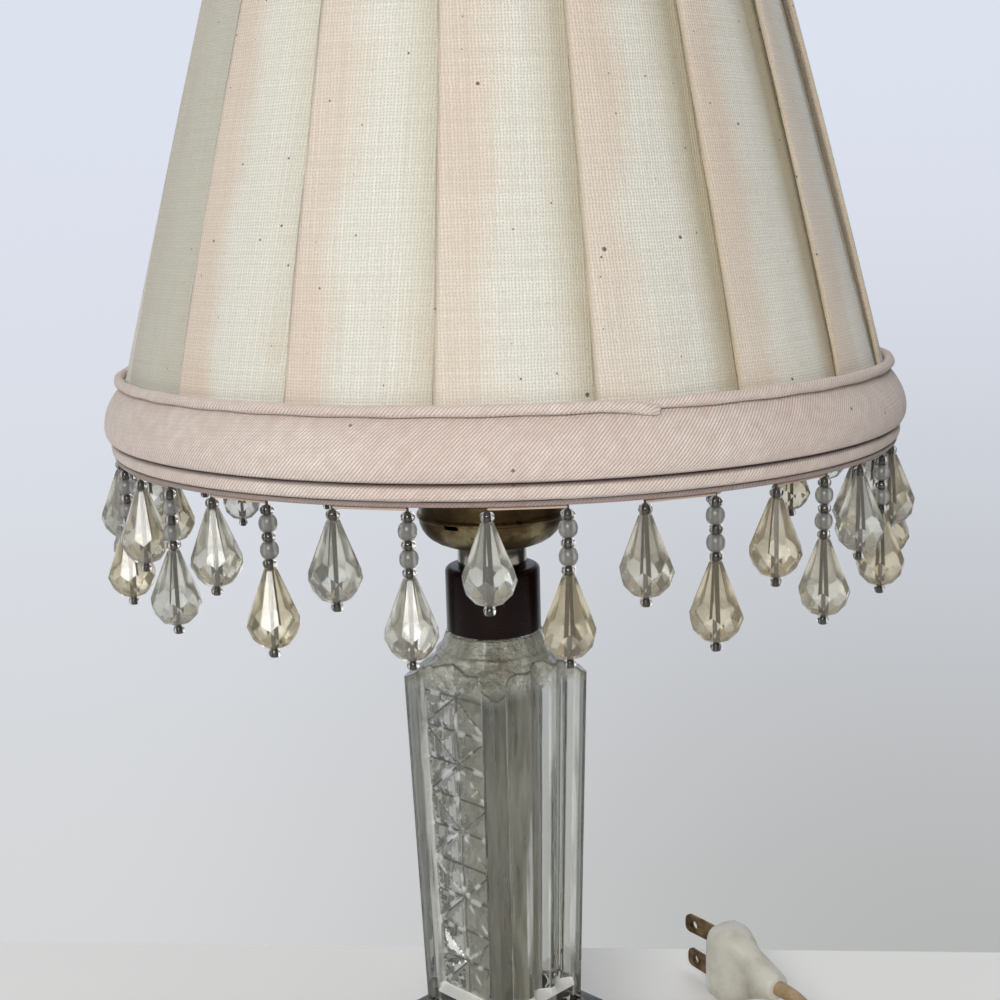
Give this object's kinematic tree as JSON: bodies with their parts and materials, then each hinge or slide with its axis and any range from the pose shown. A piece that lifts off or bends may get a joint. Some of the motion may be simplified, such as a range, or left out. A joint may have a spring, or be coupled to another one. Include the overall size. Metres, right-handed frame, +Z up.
{
  "type": "boudoir table lamp",
  "caption": "Small table lamp: square pressed-glass column on a stepped foot, socket with turn switch, clip-on pleated cloth shade with padded rim band and swinging beaded fringe.",
  "frame": {"origin": "on the table under the lamp's axis, at the middle of the foot", "axes": "+Z up along the column; one corner of the square column towards -Y, the side the picture shows; +X to the right of that view"},
  "size_m": [0.2373, 0.2084, 0.3807],
  "materials": {
    "pressed_glass": "clear pressed glass, slightly green-grey",
    "felt": "brown felt",
    "zinc": "zinc-plated steel",
    "collar": "dark maroon moulded resin",
    "polished_steel": "polished metal",
    "aged_brass": "antique brass, dulled",
    "card": "insulating card",
    "porcelain": "glazed porcelain",
    "dark_plastic": "dark brown moulded plastic",
    "frosted_glass": "frosted glass",
    "bulb_metal": "thin rolled metal",
    "wire": "brassed steel wire",
    "lining": "smooth off-white lining cloth",
    "pleated_cloth": "plain-weave cream cloth, aged",
    "band_cloth": "bias-cut pink-beige cloth",
    "tape": "narrow woven tape",
    "beads": "clear, frosted and silver-lined glass",
    "cord": "tan cord jacket",
    "plug_plastic": "off-white moulded plastic",
    "blade": "tarnished dark brown brass"
  },
  "bodies": {
    "base": {"glass_body": "pressed_glass", "felt_pad": "felt", "threaded_pipe": "zinc", "foot_washer": "zinc", "foot_nut": "zinc", "collar": "collar", "neck_tube": "polished_steel", "socket_cap": "aged_brass", "socket_shell": "aged_brass", "socket_sleeve": "card", "socket_body": "porcelain", "screw_shell": "aged_brass", "cord_bushing": "dark_plastic", "cord_inside": "cord", "cord_to_coil": "cord", "cord_coil": "cord", "cord_to_plug": "cord", "plug_body": "plug_plastic", "plug_blade_1": "blade", "plug_blade_2": "blade"},
    "switch": {"switch_knob": "dark_plastic"},
    "bulb": {"bulb_glass": "frosted_glass", "bulb_base": "bulb_metal"},
    "clip": {"bulb_clip": "wire"},
    "shade": {"shade_spider": "wire", "shade_frame": "wire", "shade_lining": "lining", "pleated_cover": "pleated_cloth", "rim_band": "band_cloth", "top_trim": "band_cloth", "fringe_tape": "tape"},
    "strings_01": {"fringe_pair_01": "beads"},
    "strings_02": {"fringe_pair_02": "beads"},
    "strings_03": {"fringe_pair_03": "beads"},
    "strings_04": {"fringe_pair_04": "beads"},
    "strings_05": {"fringe_pair_05": "beads"},
    "strings_06": {"fringe_pair_06": "beads"},
    "strings_07": {"fringe_pair_07": "beads"},
    "strings_08": {"fringe_pair_08": "beads"},
    "strings_09": {"fringe_pair_09": "beads"},
    "strings_10": {"fringe_pair_10": "beads"},
    "strings_11": {"fringe_pair_11": "beads"},
    "strings_12": {"fringe_pair_12": "beads"},
    "strings_13": {"fringe_pair_13": "beads"},
    "strings_14": {"fringe_pair_14": "beads"},
    "strings_15": {"fringe_pair_15": "beads"},
    "strings_16": {"fringe_pair_16": "beads"},
    "strings_17": {"fringe_pair_17": "beads"},
    "strings_18": {"fringe_pair_18": "beads"},
    "strings_19": {"fringe_pair_19": "beads"}
  },
  "joints": [
    {"name": "switch_turn", "type": "hinge", "parent": "base", "child": "switch", "pos_m": [0.025, 0, 0.1932], "axis": [1, 0, 0], "continuous": true},
    {"name": "bulb_turn", "type": "hinge", "parent": "base", "child": "bulb", "pos_m": [0, 0, 0.2808], "axis": [0, 0, 1], "continuous": true},
    {"name": "shade_lift", "type": "slide", "parent": "bulb", "child": "clip", "axis": [0, 0, 1], "range_m": [0, 0.12]},
    {"name": "shade_tilt", "type": "hinge", "parent": "clip", "child": "shade", "pos_m": [0, 0, 0.3555], "axis": [1, 0, 0], "range_deg": [-8, 8]},
    {"name": "string_swing_01", "type": "hinge", "parent": "shade", "child": "strings_01", "pos_m": [0.00755, -0.09821, 0.20085], "axis": [-0.9995, -0.0321, 0], "range_deg": [-30, 30]},
    {"name": "string_swing_02", "type": "hinge", "parent": "shade", "child": "strings_02", "pos_m": [0.03927, -0.09187, 0.20085], "axis": [-0.9349, -0.3548, 0], "range_deg": [-30, 30]},
    {"name": "string_swing_03", "type": "hinge", "parent": "shade", "child": "strings_03", "pos_m": [0.06721, -0.07557, 0.20085], "axis": [-0.769, -0.6392, 0], "range_deg": [-30, 30]},
    {"name": "string_swing_04", "type": "hinge", "parent": "shade", "child": "strings_04", "pos_m": [0.08834, -0.05108, 0.20085], "axis": [-0.5198, -0.8543, 0], "range_deg": [-30, 30]},
    {"name": "string_swing_05", "type": "hinge", "parent": "shade", "child": "strings_05", "pos_m": [0.10038, -0.02106, 0.20085], "axis": [-0.2143, -0.9768, 0], "range_deg": [-30, 30]},
    {"name": "string_swing_06", "type": "hinge", "parent": "shade", "child": "strings_06", "pos_m": [0.10202, 0.01125, 0.20085], "axis": [0.1145, -0.9934, 0], "range_deg": [-30, 30]},
    {"name": "string_swing_07", "type": "hinge", "parent": "shade", "child": "strings_07", "pos_m": [0.09308, 0.04234, 0.20085], "axis": [0.4308, -0.9024, 0], "range_deg": [-30, 30]},
    {"name": "string_swing_08", "type": "hinge", "parent": "shade", "child": "strings_08", "pos_m": [0.07452, 0.06883, 0.20085], "axis": [0.7005, -0.7136, 0], "range_deg": [-30, 30]},
    {"name": "string_swing_09", "type": "hinge", "parent": "shade", "child": "strings_09", "pos_m": [0.04837, 0.08787, 0.20085], "axis": [0.8943, -0.4475, 0], "range_deg": [-30, 30]},
    {"name": "string_swing_10", "type": "hinge", "parent": "shade", "child": "strings_10", "pos_m": [0.01746, 0.09739, 0.20085], "axis": [0.9911, -0.1329, 0], "range_deg": [-30, 30]},
    {"name": "string_swing_11", "type": "hinge", "parent": "shade", "child": "strings_11", "pos_m": [-0.01487, 0.09635, 0.20085], "axis": [0.9806, 0.1961, 0], "range_deg": [-30, 30]},
    {"name": "string_swing_12", "type": "hinge", "parent": "shade", "child": "strings_12", "pos_m": [-0.04511, 0.08488, 0.20085], "axis": [0.8638, 0.5039, 0], "range_deg": [-30, 30]},
    {"name": "string_swing_13", "type": "hinge", "parent": "shade", "child": "strings_13", "pos_m": [-0.06999, 0.0642, 0.20085], "axis": [0.6534, 0.7571, 0], "range_deg": [-30, 30]},
    {"name": "string_swing_14", "type": "hinge", "parent": "shade", "child": "strings_14", "pos_m": [-0.08681, 0.03657, 0.20085], "axis": [0.3721, 0.9282, 0], "range_deg": [-30, 30]},
    {"name": "string_swing_15", "type": "hinge", "parent": "shade", "child": "strings_15", "pos_m": [-0.09374, 0.00497, 0.20085], "axis": [0.0506, 0.9987, 0], "range_deg": [-30, 30]},
    {"name": "string_swing_16", "type": "hinge", "parent": "shade", "child": "strings_16", "pos_m": [-0.09003, -0.02716, 0.20085], "axis": [-0.2764, 0.961, 0], "range_deg": [-30, 30]},
    {"name": "string_swing_17", "type": "hinge", "parent": "shade", "child": "strings_17", "pos_m": [-0.0761, -0.05635, 0.20085], "axis": [-0.5735, 0.8192, 0], "range_deg": [-30, 30]},
    {"name": "string_swing_18", "type": "hinge", "parent": "shade", "child": "strings_18", "pos_m": [-0.05344, -0.07944, 0.20085], "axis": [-0.8084, 0.5886, 0], "range_deg": [-30, 30]},
    {"name": "string_swing_19", "type": "hinge", "parent": "shade", "child": "strings_19", "pos_m": [-0.02451, -0.09391, 0.20085], "axis": [-0.9557, 0.2942, 0], "range_deg": [-30, 30]}
  ]
}
